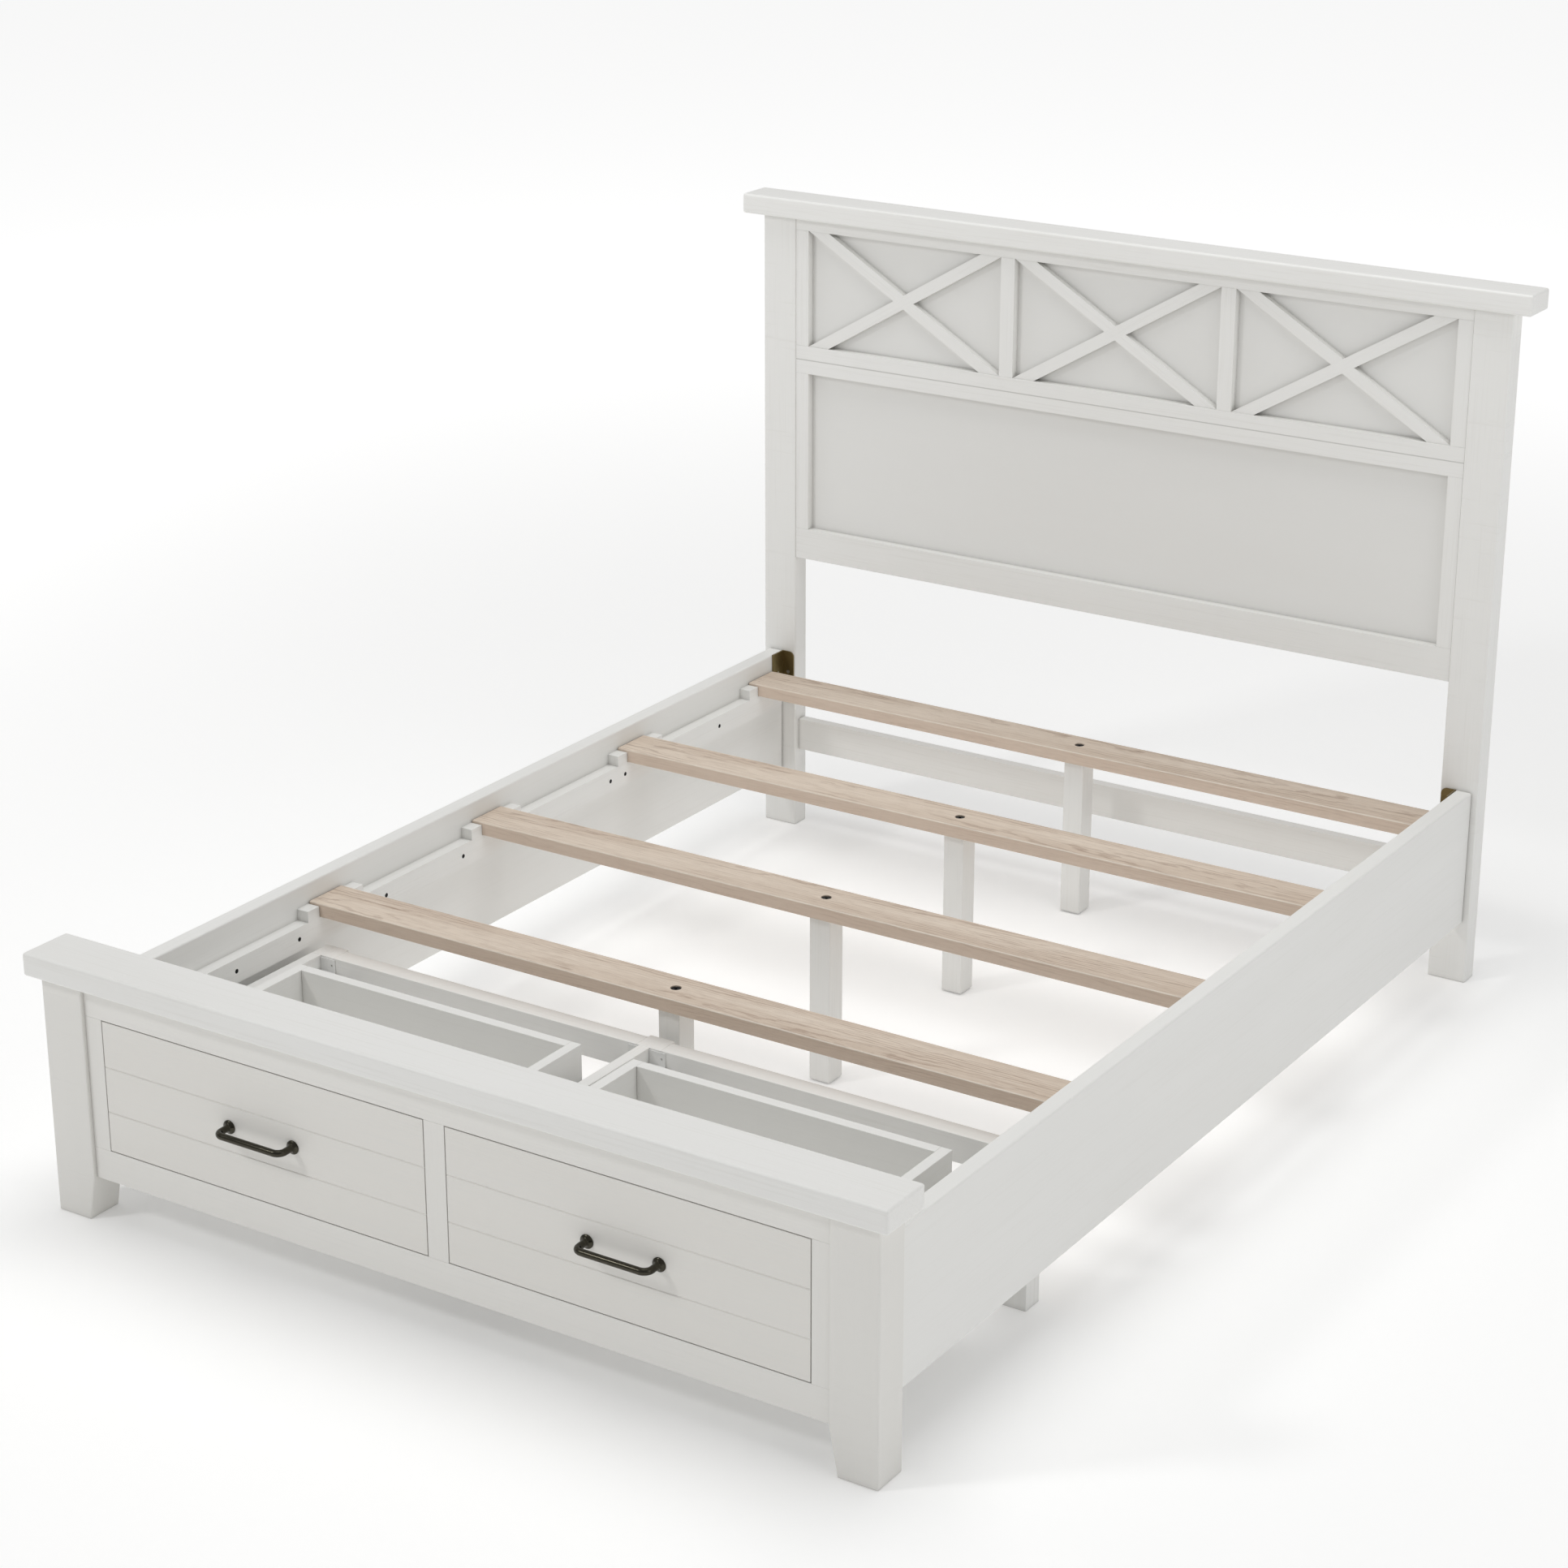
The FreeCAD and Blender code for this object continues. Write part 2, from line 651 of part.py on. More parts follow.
# ---------------------------------------------------------------- write every piece
save_pair("headboard_left_post", "headboard_right_post", head_post())
save("headboard_cap", head_cap())
head_rails = {
    "headboard_top_rail": (upper_opening_top, head_post_height),
    "headboard_upper_mid_rail": (mid_rail_seam, upper_opening_bottom),
    "headboard_lower_mid_rail": (lower_opening_top, mid_rail_seam),
    "headboard_bottom_rail": (head_bottom_rail_place, lower_opening_bottom),
}
for name, (low, high) in head_rails.items():
    save(name, head_member(-head_post_inner, head_post_inner, low, high))
upper_stile = head_member(head_opening_half, head_post_inner, upper_opening_bottom, upper_opening_top)
save("headboard_upper_stiles", both_sides(upper_stile))
lower_stile = head_member(head_opening_half, head_post_inner, lower_opening_bottom, lower_opening_top)
save("headboard_lower_stiles", both_sides(lower_stile))
mullion = head_member(mullion_place - head_mullion_width / 2, mullion_place + head_mullion_width / 2,
                      upper_opening_bottom, upper_opening_top)
save("headboard_mullions", both_sides(mullion))
save("headboard_lower_panel", lower_panel())
save("headboard_upper_panels", Part.makeCompound([upper_panel(p) for p in panel_places]))
save("headboard_stretcher", head_stretcher())
save("headboard_rising_braces", Part.makeCompound([brace(p, 1, True) for p in panel_places]))
save("headboard_falling_braces", Part.makeCompound([brace(p, -1, False) for p in panel_places]))

save_pair("footboard_left_post", "footboard_right_post", foot_post())
save("footboard_cap", foot_cap())
save("footboard_top_rail", foot_member(-foot_post_inner, foot_post_inner, opening_top, foot_post_height))
save("footboard_bottom_rail", foot_member(-foot_post_inner, foot_post_inner, foot_bottom_clearance,
                                          opening_bottom))
end_stile = foot_member(opening_outer, foot_post_inner, opening_bottom, opening_top)
save("footboard_end_stiles", both_sides(end_stile))
save("footboard_centre_stile", foot_member(-opening_inner, opening_inner, opening_bottom, opening_top))

save_pair("left_side_rail", "right_side_rail", side_rail())
save_pair("left_ledger", "right_ledger", ledger())
save("ledger_screws", both_sides(Part.makeCompound([screw(p, way, screw_length)
                                                    for p, way in ledger_screw_places()])))
save("bed_rail_brackets", both_sides(Part.makeCompound([bed_bracket(True), bed_bracket(False)])))
bracket_screws = [screw(p, way, bracket_screw_length) for end in (True, False)
                  for p, way in bracket_screw_places(end)]
save("bracket_screws", both_sides(Part.makeCompound(bracket_screws)))

for number, y in enumerate(slat_places, 1):
    save("slat_" + str(number), slat(y))
save("slat_legs", Part.makeCompound([slat_leg(y) for y in slat_places]))
save("slat_bolts", Part.makeCompound([slat_bolt(y) for y in slat_places]))
save("leg_glides", Part.makeCompound([glide(y) for y in slat_places]))

save("support_outer_legs", both_sides(under_leg(side_leg_inner, side_leg_outer)))
save("support_centre_leg", under_leg(-under_leg_half, under_leg_half))
save("support_stretchers", both_sides(under_stretcher(under_leg_half, side_leg_inner)))
save("support_side_runners", both_sides(under_runner(side_runner_inner, side_leg_outer, rail_start)))
save("support_centre_runner", under_runner(centre_runner_x0, centre_runner_x1, foot_frame_back))

slide_walls = {
    ("left", -1): -side_runner_inner,
    ("left", 1): centre_runner_x0,
    ("right", -1): centre_runner_x1,
    ("right", 1): side_runner_inner,
}
slide_battens = []
slide_brackets = []
fixed_members = []
for name, middle in (("left", -opening_middle), ("right", opening_middle)):
    members = []
    for side in (-1, 1):
        wall_face = slide_walls[(name, side)]
        slide_battens.append(batten(wall_face, middle, side))
        slide_brackets.append(slide_bracket(wall_face, middle, side))
        members.append(slide_members(middle, side))
    fixed_members += [m[0] for m in members]
    save(name + "_slide_middle_members", Part.makeCompound([m[1] for m in members]))
    save(name + "_slide_drawer_members", Part.makeCompound([m[2] for m in members]))
    save(name + "_drawer_front", drawer_front(middle))
    save(name + "_drawer_sides", Part.makeCompound([drawer_side(middle, -1), drawer_side(middle, 1)]))
    save(name + "_drawer_back", drawer_back(middle))
    save(name + "_drawer_bottom", drawer_bottom(middle))
    save(name + "_drawer_handle", drawer_handle(middle))
    save(name + "_drawer_handle_screws", handle_screws(middle))
save("slide_fixed_members", Part.makeCompound(fixed_members))
save("slide_battens", Part.makeCompound(slide_battens))
save("slide_rear_brackets", Part.makeCompound(slide_brackets))
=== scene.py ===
import bpy, math
from mathutils import Matrix, Vector


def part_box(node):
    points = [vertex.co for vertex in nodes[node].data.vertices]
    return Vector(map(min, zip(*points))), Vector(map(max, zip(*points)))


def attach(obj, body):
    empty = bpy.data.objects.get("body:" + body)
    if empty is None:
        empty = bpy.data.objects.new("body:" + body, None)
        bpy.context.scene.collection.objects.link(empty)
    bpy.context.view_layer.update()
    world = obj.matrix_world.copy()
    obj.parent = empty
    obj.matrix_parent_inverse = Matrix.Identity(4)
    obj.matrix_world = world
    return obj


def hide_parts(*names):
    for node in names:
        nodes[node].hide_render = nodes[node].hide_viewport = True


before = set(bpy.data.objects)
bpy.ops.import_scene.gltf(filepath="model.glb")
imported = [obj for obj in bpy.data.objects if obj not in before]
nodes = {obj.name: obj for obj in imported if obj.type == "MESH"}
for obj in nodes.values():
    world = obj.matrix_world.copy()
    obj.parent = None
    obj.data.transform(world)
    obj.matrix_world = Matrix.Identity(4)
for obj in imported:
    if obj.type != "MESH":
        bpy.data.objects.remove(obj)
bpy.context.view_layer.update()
print("frame loaded:", len(nodes), "nodes")

bpy.ops.object.select_all(action="DESELECT")


# camera
view = {
    "place": (3.1088, -4.8796, 2.7801),
    "turn": (69.041, -0.067, 32.8425),     # tilt, roll and heading in degrees
    "lens": 80.709,
    "sensor": 36.0,
    "shift": (-0.0089, 0.0075),
    "farthest": 60.0,
}


def addCamera():
    data = bpy.data.cameras.new("bedCamera")
    data.lens = view["lens"]
    data.sensor_width = view["sensor"]
    data.shift_x, data.shift_y = view["shift"]
    data.clip_end = view["farthest"]
    cam = bpy.data.objects.new("bedCamera", data)
    cam.location = view["place"]
    cam.rotation_euler = [math.radians(a) for a in view["turn"]]
    bpy.context.scene.collection.objects.link(cam)
    bpy.context.scene.camera = cam


addCamera()
print("camera placed")


# studio
studio = {
    "floorSize": 240.0,
    "floorColor": (0.96, 0.96, 0.955),
    "floorRoughness": 0.9,
    "floorShine": 0.1,
    "floorGlow": 0.15,            # beside the bed
    "farGlow": 0.58,              # out where no lamp reaches
    "glowFrom": 1.8,              # metres from the middle of the bed
    "glowTo": 7.0,
    "skyColor": (1.0, 1.0, 1.0),
    "skyStrength": 0.355,
    "skySeen": 0.96,              # what shows above the floor in a low view
    "aim": (0, 0, 0.4),
    "lamps": {
        "keyLight": {"place": (-3.6, -5.2, 5.2), "size": 1.0, "watts": 82.0},
        "rightLight": {"place": (6.0, -1.0, 3.2), "size": 4.0, "watts": 50.0},
        "topLight": {"place": (0.2, 0.2, 6.0), "size": 4.0, "watts": 148.0},
        "leftLight": {"place": (-6.0, 0.0, 2.0), "size": 4.0, "watts": 42.0},
    },
}


def addLight(name, spec, target):
    data = bpy.data.lights.new(name, "AREA")
    data.shape = "SQUARE"
    data.size = spec["size"]
    data.energy = spec["watts"]
    lamp = bpy.data.objects.new(name, data)
    lamp.location = spec["place"]
    aim = Vector(target) - Vector(spec["place"])
    lamp.rotation_euler = aim.to_track_quat("-Z", "Y").to_euler()
    bpy.context.scene.collection.objects.link(lamp)


def addStudio():
    bpy.ops.mesh.primitive_plane_add(size=studio["floorSize"], location=(0, 0, 0))
    floor = bpy.context.object
    floor.name = "studioFloor"
    floor.data.materials.append(floorMaterial())
    bpy.ops.object.select_all(action="DESELECT")
    world = bpy.data.worlds.new("studioSky")
    world.use_nodes = True
    sky = world.node_tree.nodes["Background"]
    sky.inputs["Color"].default_value = (*studio["skyColor"], 1)
    tree = world.node_tree
    seen = addNode(tree, "LightPath")
    strength = addNode(tree, "MapRange", To_Min=studio["skyStrength"], To_Max=studio["skySeen"])
    join(tree, seen.outputs["Is Camera Ray"], strength.inputs["Value"])
    join(tree, strength.outputs["Result"], sky.inputs["Strength"])
    bpy.context.scene.world = world
    for name, spec in studio["lamps"].items():
        addLight(name, spec, studio["aim"])
    bpy.context.scene.view_settings.view_transform = "Standard"


def floorMaterial():
    mat, tree, shader = newMaterial("paleFloor")
    shader.inputs["Base Color"].default_value = (*studio["floorColor"], 1)
    shader.inputs["Roughness"].default_value = studio["floorRoughness"]
    shader.inputs["Specular IOR Level"].default_value = studio["floorShine"]
    shader.inputs["Emission Color"].default_value = (1, 1, 1, 1)
    coord = addNode(tree, "TexCoord")
    away = addNode(tree, "VectorMath", operation="LENGTH")
    join(tree, coord.outputs["Object"], away.inputs[0])
    glow = addNode(tree, "MapRange", interpolation_type="SMOOTHSTEP")
    for slot, value in zip(glow.inputs[1:5], ("glowFrom", "glowTo", "floorGlow", "farGlow")):
        slot.default_value = studio[value]
    join(tree, away.outputs["Value"], glow.inputs["Value"])
    join(tree, glow.outputs["Result"], shader.inputs["Emission Strength"])
    return mat


# node helpers
def newMaterial(name):
    mat = bpy.data.materials.new(name)
    mat.use_nodes = True
    tree = mat.node_tree
    return mat, tree, tree.nodes["Principled BSDF"]


def addNode(tree, kind, **values):
    node = tree.nodes.new("ShaderNode" + kind)
    for key, value in values.items():
        if hasattr(node, key):
            setattr(node, key, value)
        else:
            node.inputs[key.replace("_", " ")].default_value = value
    return node


def join(tree, source, target):
    tree.links.new(source, target)


def math2(tree, operation, a, b):
    node = addNode(tree, "Math", operation=operation)
    for slot, value in zip(node.inputs, (a, b)):
        if isinstance(value, (int, float)):
            slot.default_value = value
        else:
            join(tree, value, slot)
    return node.outputs[0]


def share(tree, value, amount):
    return math2(tree, "MULTIPLY", value, amount)


def stretched(tree, vector, scale):
    node = addNode(tree, "Mapping")
    node.inputs["Scale"].default_value = scale
    join(tree, vector, node.inputs["Vector"])
    return node.outputs["Vector"]


def noise(tree, vector, scale, detail=3.0, rough=0.5):
    node = addNode(tree, "TexNoise", Scale=1.0, Detail=detail, Roughness=rough)
    join(tree, stretched(tree, vector, scale), node.inputs["Vector"])
    return node.outputs["Fac"]


def ramp(tree, value, low, high):
    node = addNode(tree, "MapRange", clamp=True)
    node.inputs["From Min"].default_value = low
    node.inputs["From Max"].default_value = high
    join(tree, value, node.inputs["Value"])
    return node.outputs["Result"]


def mixColor(tree, factor, a, b):
    node = addNode(tree, "Mix", data_type="RGBA")
    join(tree, factor, node.inputs[0])
    for slot, value in ((node.inputs[6], a), (node.inputs[7], b)):
        if isinstance(value, tuple):
            slot.default_value = (*value, 1)
        else:
            join(tree, value, slot)
    return node.outputs[2]


def addBump(tree, shader, height, depth):
    node = addNode(tree, "Bump", Strength=1.0, Distance=depth)
    join(tree, height, node.inputs["Height"])
    join(tree, node.outputs["Normal"], shader.inputs["Normal"])


def alongGrain(tree, turn, centre=(0, 0, 0)):
    coord = addNode(tree, "TexCoord")
    moved = addNode(tree, "Mapping")
    moved.inputs["Location"].default_value = [-c for c in centre]
    join(tree, coord.outputs["Object"], moved.inputs["Vector"])
    turned = addNode(tree, "Mapping")
    turned.inputs["Rotation"].default_value = [math.radians(a) for a in turn]
    join(tree, moved.outputs["Vector"], turned.inputs["Vector"])
    return turned.outputs["Vector"]


addStudio()
print("studio lit")


# paint on wood
paint = {
    "color": (0.828, 0.824, 0.800),
    "valleyColor": (0.780, 0.772, 0.742),
    "toneColor": (0.848, 0.845, 0.824),
    # painted shade: darker, warmer copies of the one white paint for the drawer fronts, the
    # footboard's face frame, its posts and the headboard panels
    "shadedFrontColor": (0.788, 0.771, 0.731),
    "shadedFrontTone": (0.804, 0.788, 0.750),
    "shadedFrameColor": (0.810, 0.798, 0.764),
    "shadedFrameTone": (0.826, 0.815, 0.783),
    "shadedPostColor": (0.786, 0.774, 0.740),
    "shadedPostTone": (0.802, 0.791, 0.759),
    "shadedPanelColor": (0.790, 0.786, 0.764),
    "shadedPanelTone": (0.802, 0.799, 0.778),
    "cornerShadeColor": (0.400, 0.390, 0.365),     # painted shade where boards meet and in the reveals
    "cornerReach": 0.010,
    "cornerShadeShare": 0.55,
    "revealShadeShare": 0.20,
    "seamWidth": 0.0016,
    "roughness": 0.42,
    "bumpDepth": 0.00035,
    "grain": (5.0, 230.0, 230.0),      # features to the metre along and across the board
    "brush": (9.0, 820.0, 820.0),
    "tone": (1.3, 7.0, 7.0),
    "saw": (95.0, 5.0, 5.0),
    "valleyLimits": (0.52, 0.72),
    "toneLimits": (0.35, 0.70),
    "sawLimits": (0.60, 0.74),
    "cornerLimits": (0.86, 0.30),      # from an open surface to a closed corner
    "valleyShare": 0.6,
    "sawShare": 0.9,
    "brushHeight": 0.35,               # beside the grain's own height
    "sawHeight": 1.3,
    "glossSpread": 0.22,
    "braceWidth": 0.024,
}
grainTurns = {
    "X": (0, 0, 0),
    "Y": (0, 0, -90),
    "Z": (0, 90, 0),
}


def paintedWood(name, turn, grainShare=1.0, sawShare=0.0, color="color", toneColor="toneColor",
                cornerShadeShare="cornerShadeShare", jointHeight=None):
    mat, tree, shader = newMaterial(name)
    along = alongGrain(tree, turn)
    grain = noise(tree, along, paint["grain"], 5.0, 0.6)
    brush = noise(tree, along, paint["brush"], 2.0, 0.5)
    tone = noise(tree, along, paint["tone"], 2.0, 0.5)
    saw = ramp(tree, noise(tree, along, paint["saw"], 3.0, 0.6), *paint["sawLimits"])
    valley = ramp(tree, grain, *paint["valleyLimits"])
    valley = share(tree, valley, paint["valleyShare"] * grainShare)
    marked = math2(tree, "MAXIMUM", valley, share(tree, saw, paint["sawShare"] * sawShare))
    toned = mixColor(tree, ramp(tree, tone, *paint["toneLimits"]), paint[color], paint[toneColor])
    painted = mixColor(tree, marked, toned, paint["valleyColor"])
    # painted shade: the paint is darkened towards the shade colour wherever ambient occlusion finds
    # a closed corner, between boards and in the reveals
    corner = addNode(tree, "AmbientOcclusion", samples=4, Distance=paint["cornerReach"])
    cornerShade = ramp(tree, corner.outputs["AO"], *paint["cornerLimits"])
    cornerShade = share(tree, cornerShade, paint[cornerShadeShare])
    if jointHeight is not None:        # painted shadow along the hairline where two rails are glued edge to edge
        place = addNode(tree, "SeparateXYZ")
        join(tree, alongGrain(tree, (0, 0, 0), (0, 0, jointHeight)), place.inputs[0])
        reach = math2(tree, "ABSOLUTE", place.outputs["Z"], 0.0)
        seamShadow = ramp(tree, reach, paint["seamWidth"], 0.3 * paint["seamWidth"])
        cornerShade = math2(tree, "MAXIMUM", cornerShade, share(tree, seamShadow, paint["cornerShadeShare"]))
    join(tree, mixColor(tree, cornerShade, painted, paint["cornerShadeColor"]), shader.inputs["Base Color"])
    gloss = math2(tree, "MULTIPLY_ADD", grain, paint["glossSpread"])
    gloss.node.inputs[2].default_value = paint["roughness"] - paint["glossSpread"] / 2
    join(tree, gloss, shader.inputs["Roughness"])
    height = share(tree, grain, grainShare)
    height = math2(tree, "ADD", height, share(tree, brush, paint["brushHeight"] * grainShare))
    height = math2(tree, "SUBTRACT", height, share(tree, saw, paint["sawHeight"] * sawShare))
    addBump(tree, shader, height, paint["bumpDepth"])
    return mat


# washed slat wood
washed = {
    "light": (0.735, 0.628, 0.520),
    "middle": (0.640, 0.528, 0.425),
    "dark": (0.330, 0.225, 0.165),
    "limed": (0.820, 0.740, 0.650),
    "sideColor": (0.690, 0.545, 0.440),
    # painted highlight colour for the two upper edges
    "edgeHighlightColor": (0.860, 0.800, 0.715),
    "roughness": 0.60,
    "rings": {"Scale": 66.0, "Distortion": 7.0, "Detail": 4.0, "Detail_Scale": 0.8},
    "ringStretch": (0.26, 1, 1),
    "patch": (3.0, 24.0, 24.0),        # features to the metre along and across the slat
    "streak": (8.0, 420.0, 420.0),
    "pore": (30.0, 1100.0, 1100.0),
    "tone": (1.6, 16.0, 16.0),
    "ringLimits": (0.62, 0.98),
    "ringBreaks": (0.36, 0.58),        # where the streaks break the rings up
    "ringLeast": 0.22,
    "patchLimits": (0.42, 0.60),
    "toneLimits": (0.38, 0.62),
    "limedLimits": (0.44, 0.28),
    "lineLimits": (0.57, 0.72),
    "poreLimits": (0.56, 0.68),
    "highlightBreakLimits": (0.25, 0.55),
    "limedShare": 0.55,
    "lineShare": 0.40,
    "ringShare": 0.66,
    "poreShare": 0.26,
    "edgeHighlightShare": 0.60,
    "sideShare": 0.60,
    "edgeWidth": 0.0022,
    "hearts": [(0.3, 0.030, 0.045), (-0.2, -0.055, 0.050),      # where each slat's rings turn
               (0.5, 0.010, 0.070), (-0.6, -0.020, 0.038)],
    "leans": [(0, 1.6, 0.9), (0, -1.2, -1.4), (0, 0.9, 1.2), (0, -1.8, 0.5)],
    "ringDip": 0.5,                    # beside the streaks' own height
    "poreDip": 0.6,
    "bumpDepth": 0.00035,
}


def washedWood(name, low, high, heart, lean):
    mat, tree, shader = newMaterial(name)
    centre = [(a + b) / 2 for a, b in zip(low, high)]
    along = alongGrain(tree, (0, 0, 0), centre)
    log = addNode(tree, "Mapping")
    log.inputs["Location"].default_value = heart
    log.inputs["Rotation"].default_value = [math.radians(a) for a in lean]
    join(tree, along, log.inputs["Vector"])
    rings = addNode(tree, "TexWave", wave_type="RINGS", rings_direction="X", wave_profile="SIN",
                    **washed["rings"])
    join(tree, stretched(tree, log.outputs["Vector"], washed["ringStretch"]), rings.inputs["Vector"])
    patch = ramp(tree, noise(tree, along, washed["patch"], 2.0, 0.5), *washed["patchLimits"])
    streak = noise(tree, along, washed["streak"], 4.0, 0.66)
    pores = ramp(tree, noise(tree, along, washed["pore"], 2.0, 0.5), *washed["poreLimits"])
    tone = noise(tree, along, washed["tone"], 3.0, 0.5)
    late = ramp(tree, rings.outputs["Fac"], *washed["ringLimits"])
    late = math2(tree, "MULTIPLY", late, ramp(tree, streak, *washed["ringBreaks"]))
    late = math2(tree, "MULTIPLY", late, math2(tree, "MAXIMUM", patch, washed["ringLeast"]))
    base = mixColor(tree, ramp(tree, tone, *washed["toneLimits"]), washed["light"], washed["middle"])
    limed = share(tree, ramp(tree, streak, *washed["limedLimits"]), washed["limedShare"])
    base = mixColor(tree, limed, base, washed["limed"])
    lines = ramp(tree, streak, *washed["lineLimits"])
    for mark, amount in ((lines, "lineShare"), (late, "ringShare"), (pores, "poreShare")):
        base = mixColor(tree, share(tree, mark, washed[amount]), base, washed["dark"])
    # smoother sides, and a painted highlight along the two upper edges, fading in and out with the
    # tone
    place = addNode(tree, "SeparateXYZ")
    join(tree, along, place.inputs[0])
    sideways = math2(tree, "ABSOLUTE", place.outputs["Y"], 0.0)
    fromSide = math2(tree, "SUBTRACT", (high[1] - low[1]) / 2, sideways)
    fromTop = math2(tree, "SUBTRACT", (high[2] - low[2]) / 2, place.outputs["Z"])
    width = washed["edgeWidth"]
    side = share(tree, ramp(tree, fromTop, 0.5 * width, width), washed["sideShare"])
    base = mixColor(tree, side, base, washed["sideColor"])
    edgeHighlight = ramp(tree, math2(tree, "MAXIMUM", fromSide, fromTop), width, 0.5 * width)
    edgeHighlight = math2(tree, "MULTIPLY", edgeHighlight, ramp(tree, tone, *washed["highlightBreakLimits"]))
    base = mixColor(tree, share(tree, edgeHighlight, washed["edgeHighlightShare"]), base, washed["edgeHighlightColor"])
    join(tree, base, shader.inputs["Base Color"])
    shader.inputs["Roughness"].default_value = washed["roughness"]
    height = math2(tree, "SUBTRACT", streak, share(tree, late, washed["ringDip"]))
    height = math2(tree, "SUBTRACT", height, share(tree, pores, washed["poreDip"]))
    addBump(tree, shader, height, washed["bumpDepth"])
    return mat


# metals and plastics
metal = {
    "mottle": (160.0, 160.0, 160.0),   # features to the metre
    "fine": (1400.0, 1400.0, 1400.0),
    "wornLimits": (0.50, 0.72),
    "glossSpread": 0.18,
    "bumpDepth": 0.00003,
}


def metalFinish(name, color, worn, metallic, roughness, wear=0.3):
    mat, tree, shader = newMaterial(name)
    coord = alongGrain(tree, (0, 0, 0))
    mottle = noise(tree, coord, metal["mottle"], 4.0, 0.6)
    fine = noise(tree, coord, metal["fine"], 2.0, 0.5)
    rubbed = share(tree, ramp(tree, mottle, *metal["wornLimits"]), wear)
    join(tree, mixColor(tree, rubbed, color, worn), shader.inputs["Base Color"])
    shader.inputs["Metallic"].default_value = metallic
    gloss = math2(tree, "MULTIPLY_ADD", mottle, metal["glossSpread"])
    gloss.node.inputs[2].default_value = roughness - metal["glossSpread"] / 2
    join(tree, gloss, shader.inputs["Roughness"])
    addBump(tree, shader, fine, metal["bumpDepth"])
    return mat


# finish: its name, the way of its grain, and the rest of paintedWood's values
paintKinds = {
    "X": ("AlongX", "X"),
    "Y": ("AlongY", "Y"),
    "Z": ("AlongZ", "Z"),
    "post": ("Posts", "Z", 0.8, 0.55),
    "front": ("DrawerFronts", "X", 0.9, 0.0, "shadedFrontColor", "shadedFrontTone", "revealShadeShare"),
    "faceRail": ("FaceRails", "X", 0.8, 0.0, "shadedFrameColor", "shadedFrameTone", "revealShadeShare"),
    "faceStile": ("FaceStiles", "Z", 0.8, 0.0, "shadedFrameColor", "shadedFrameTone", "revealShadeShare"),
    "footPost": ("FootPosts", "Z", 0.8, 0.45, "shadedPostColor", "shadedPostTone"),
    "sideRail": ("SideRails", "Y", 0.5),
    "boxSide": ("DrawerSides", "Y", 0.5),
    "boxBack": ("DrawerBacks", "X", 0.5),
    "panel": ("Panels", "X", 0.22, 0.0, "shadedPanelColor", "shadedPanelTone"),
    "ply": ("Plywood", "X", 0.4),
}
# finish: its name, colour, worn colour, metal share, roughness and wear
plainKinds = {
    "bronze": ("darkBronze", (0.050, 0.046, 0.034), (0.12, 0.11, 0.08), 0.9, 0.22),
    "brass": ("antiqueBrass", (0.23, 0.18, 0.082), (0.33, 0.26, 0.13), 0.9, 0.36, 0.25),
    "black": ("blackOxide", (0.008, 0.008, 0.008), (0.04, 0.04, 0.04), 0.7, 0.28),
    "zinc": ("zincPlate", (0.60, 0.60, 0.61), (0.75, 0.75, 0.74), 1.0, 0.30),
    "powder": ("whitePowderCoat", (0.76, 0.76, 0.745), (0.70, 0.70, 0.69), 0.0, 0.45),
    "nylon": ("paleNylon", (0.66, 0.65, 0.62), (0.58, 0.57, 0.54), 0.0, 0.5),
}
materials = {}
for finish, (name, grainWay, *rest) in paintKinds.items():
    materials[finish] = paintedWood("whitePaint" + name, grainTurns[grainWay], *rest)
for finish, values in plainKinds.items():
    materials[finish] = metalFinish(*values)


def braceAngle():
    low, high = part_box("headboard_rising_braces")
    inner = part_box("headboard_mullions")
    panelWidth = ((high[0] - low[0]) - (inner[1][0] - inner[0][0])) / 2
    return math.degrees(math.atan2(high[2] - low[2], panelWidth - 2 * paint["braceWidth"]))


boardFinish = {
    "X": ["headboard_cap", "headboard_top_rail", "headboard_bottom_rail", "headboard_stretcher",
          "footboard_cap", "support_stretchers"],
    "faceRail": ["footboard_top_rail", "footboard_bottom_rail"],
    "faceStile": ["footboard_end_stiles", "footboard_centre_stile"],
    "sideRail": ["left_side_rail", "right_side_rail"],
    "Y": ["left_ledger", "right_ledger", "support_side_runners", "support_centre_runner",
          "slide_battens"],
    "boxSide": ["left_drawer_sides", "right_drawer_sides"],
    "boxBack": ["left_drawer_back", "right_drawer_back"],
    "Z": ["headboard_upper_stiles", "headboard_lower_stiles", "headboard_mullions", "slat_legs",
          "support_outer_legs", "support_centre_leg"],
    "post": ["headboard_left_post", "headboard_right_post"],
    "footPost": ["footboard_left_post", "footboard_right_post"],
    "front": ["left_drawer_front", "right_drawer_front"],
    "panel": ["headboard_lower_panel", "headboard_upper_panels"],
    "ply": ["left_drawer_bottom", "right_drawer_bottom"],
    "bronze": ["left_drawer_handle", "right_drawer_handle"],
    "brass": ["bed_rail_brackets"],
    "black": ["ledger_screws", "slat_bolts"],
    "zinc": ["slide_fixed_members", "left_slide_middle_members", "right_slide_middle_members",
             "left_slide_drawer_members", "right_slide_drawer_members", "bracket_screws",
             "left_drawer_handle_screws", "right_drawer_handle_screws"],
    "powder": ["slide_rear_brackets"],
    "nylon": ["leg_glides"],
}


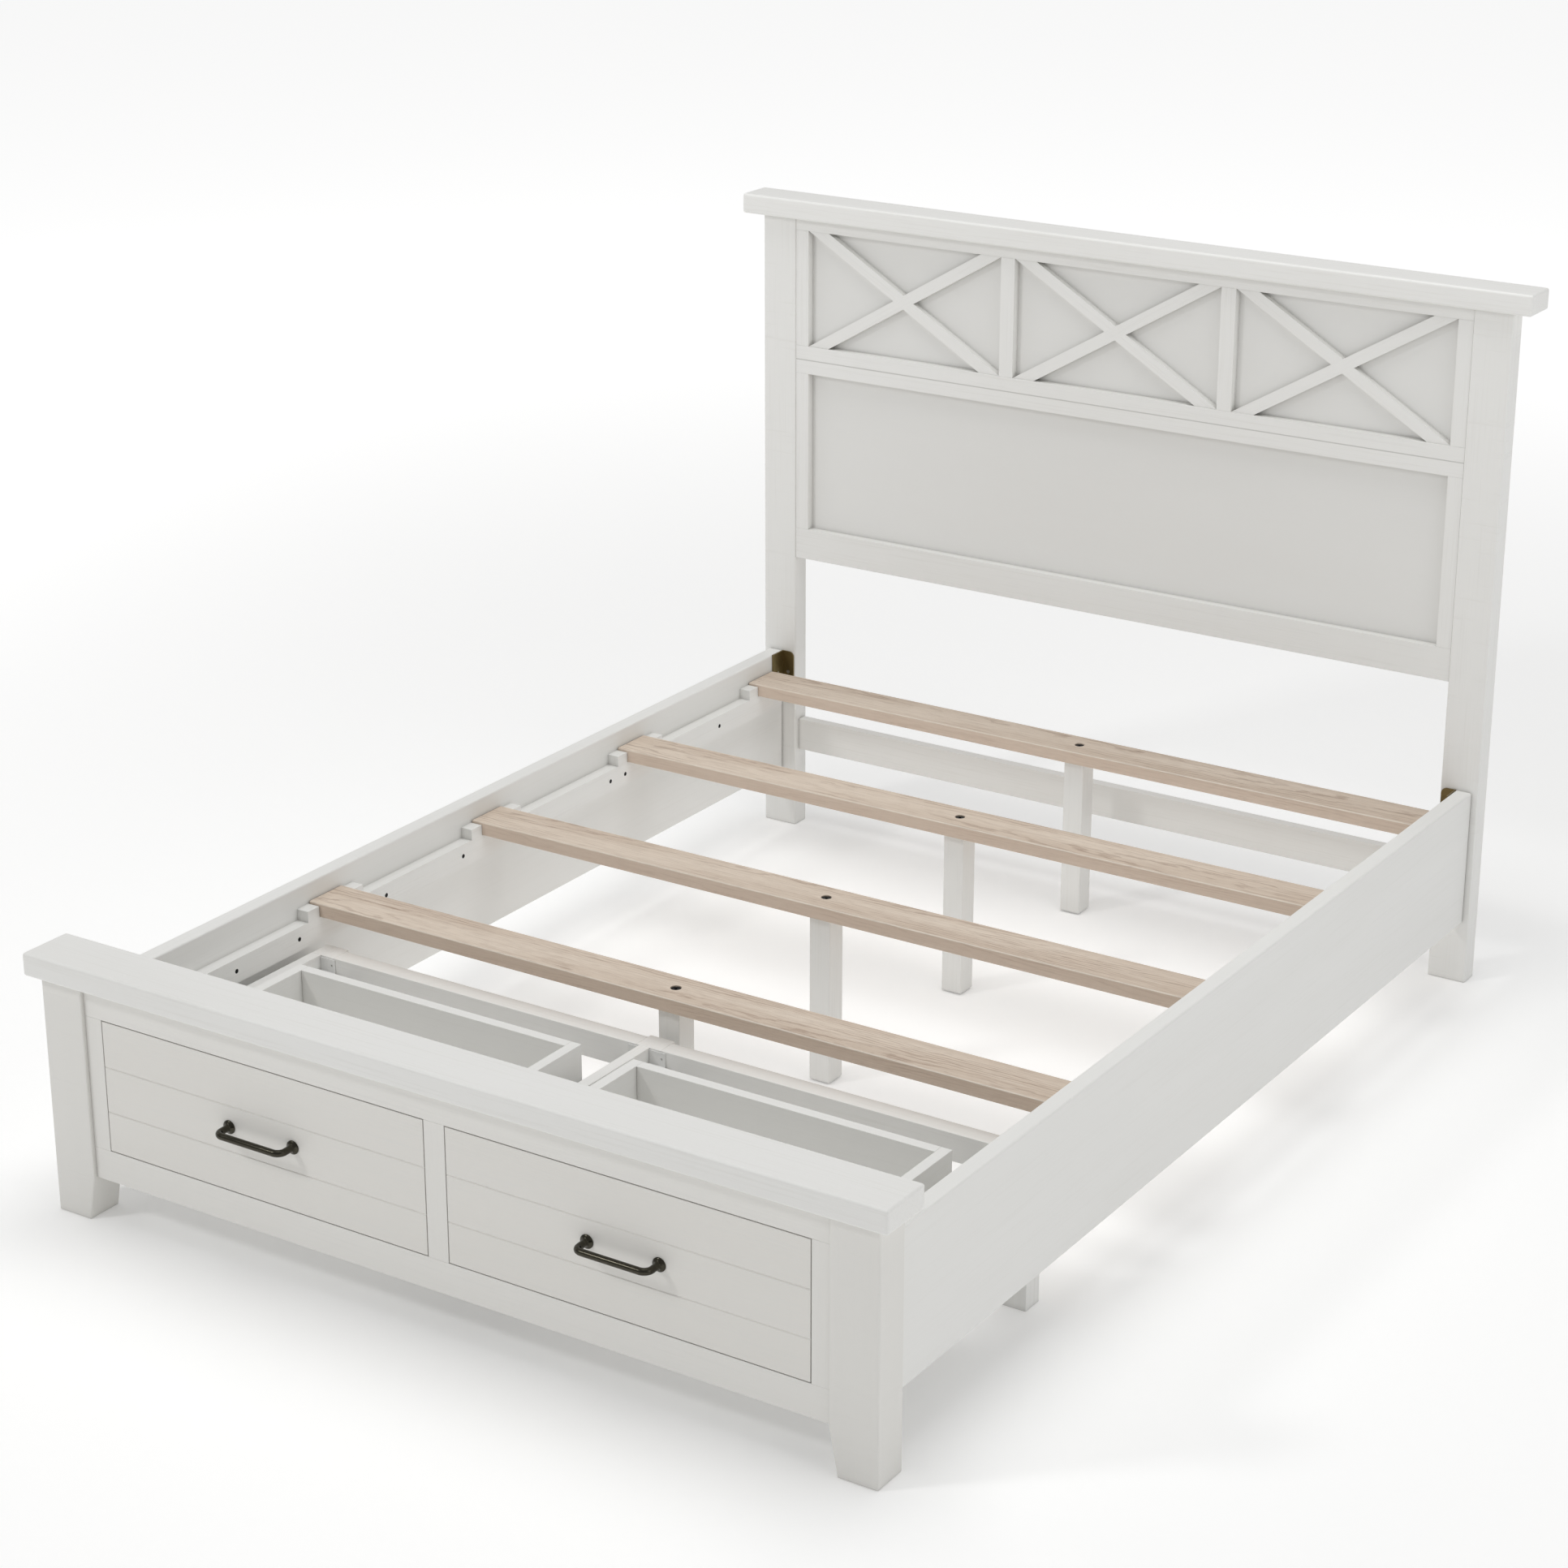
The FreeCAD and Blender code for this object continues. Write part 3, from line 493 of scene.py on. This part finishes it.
# drawer pulls
pull = {
    "bar": 0.012,
    "bend": 0.013,
    "sides": 32,
    "bendSteps": 10,
    # from the drawer's face outwards: distance and radius of the base, its cone and its neck
    "base": [(0.0003, 0.0120), (0.0016, 0.0120), (0.0023, 0.0115), (0.0036, 0.0092),
             (0.0042, 0.0081), (0.0052, 0.0072), (0.0066, 0.0065), (0.0085, 0.0061),
             (0.0105, 0.0060)],
    "startRadius": 0.0117,
    "mergeGap": 0.00001,
    "smoothBelow": 40,                 # degrees between faces
}


def extrudeBy(step):
    bpy.ops.mesh.extrude_region_move(TRANSFORM_OT_translate={"value": step})


def turnBase(rings, out, radius):
    for nextOut, nextRadius in rings:
        extrudeBy((0, out - nextOut, 0))
        bpy.ops.transform.resize(value=(nextRadius / radius, 1, nextRadius / radius))
        out, radius = nextOut, nextRadius
    return out, radius


def bendBar(x, y, rise):
    bpy.ops.mesh.spin(steps=pull["bendSteps"], angle=-math.pi / 2, center=(x, y, rise),
                      axis=(0, 0, 1))


def makePull():
    low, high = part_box("left_drawer_handle")
    rise = (low[2] + high[2]) / 2
    baseRadius = (high[2] - low[2]) / 2
    firstX = low[0] + baseRadius
    lastX = high[0] - baseRadius
    faceY = high[1]
    barY = low[1] + pull["bar"] / 2
    bend = pull["bend"]
    bpy.ops.mesh.primitive_circle_add(vertices=pull["sides"], radius=pull["startRadius"],
                                      fill_type="NGON", location=(firstX, faceY, rise),
                                      rotation=(math.pi / 2, 0, 0))
    piece = bpy.context.object
    bpy.ops.object.transform_apply(location=True, rotation=True, scale=True)
    bpy.ops.object.mode_set(mode="EDIT")
    bpy.ops.mesh.select_all(action="SELECT")
    out, radius = turnBase(pull["base"], 0.0, pull["startRadius"])
    extrudeBy((0, barY + bend - (faceY - out), 0))
    bendBar(firstX + bend, barY + bend, rise)
    extrudeBy((lastX - firstX - 2 * bend, 0, 0))
    bendBar(lastX - bend, barY + bend, rise)
    extrudeBy((0, (faceY - out) - (barY + bend), 0))
    turnBase(list(reversed(pull["base"]))[1:] + [(0.0, pull["startRadius"])], out, radius)
    bpy.ops.mesh.select_all(action="SELECT")
    bpy.ops.mesh.remove_doubles(threshold=pull["mergeGap"])
    bpy.ops.mesh.normals_make_consistent(inside=False)
    bpy.ops.object.mode_set(mode="OBJECT")
    bpy.ops.object.shade_smooth_by_angle(angle=math.radians(pull["smoothBelow"]))
    bpy.ops.object.select_all(action="DESELECT")
    return piece


def fitPulls():
    left = makePull()
    left.name = "left_pull"
    left.data.materials.append(materials["bronze"])
    right = bpy.data.objects.new("right_pull", left.data.copy())
    bpy.context.scene.collection.objects.link(right)
    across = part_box("right_drawer_handle")[0][0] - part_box("left_drawer_handle")[0][0]
    right.data.transform(Matrix.Translation((across, 0, 0)))
    for side, piece in (("left", left), ("right", right)):
        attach(piece, side + "_drawer")
        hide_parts(side + "_drawer_handle")


def dress(node, material):
    slots = nodes[node].data.materials
    slots.clear()
    slots.append(material)


def dressFrame():
    for finish, names in boardFinish.items():
        for name in names:
            dress(name, materials[finish])
    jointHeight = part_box("headboard_lower_mid_rail")[1][2]
    midRails = paintedWood("whitePaintMidRails", grainTurns["X"], jointHeight=jointHeight)
    dress("headboard_upper_mid_rail", midRails)
    dress("headboard_lower_mid_rail", midRails)
    slope = braceAngle()
    dress("headboard_rising_braces", paintedWood("whitePaintRisingBraces", (0, slope, 0)))
    dress("headboard_falling_braces", paintedWood("whitePaintFallingBraces", (0, -slope, 0)))
    for number, (heart, lean) in enumerate(zip(washed["hearts"], washed["leans"]), 1):
        low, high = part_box("slat_%d" % number)
        dress("slat_%d" % number, washedWood("washedSlat%d" % number, low, high, heart, lean))


dressFrame()
print("frame dressed")

fitPulls()
print("pulls fitted")
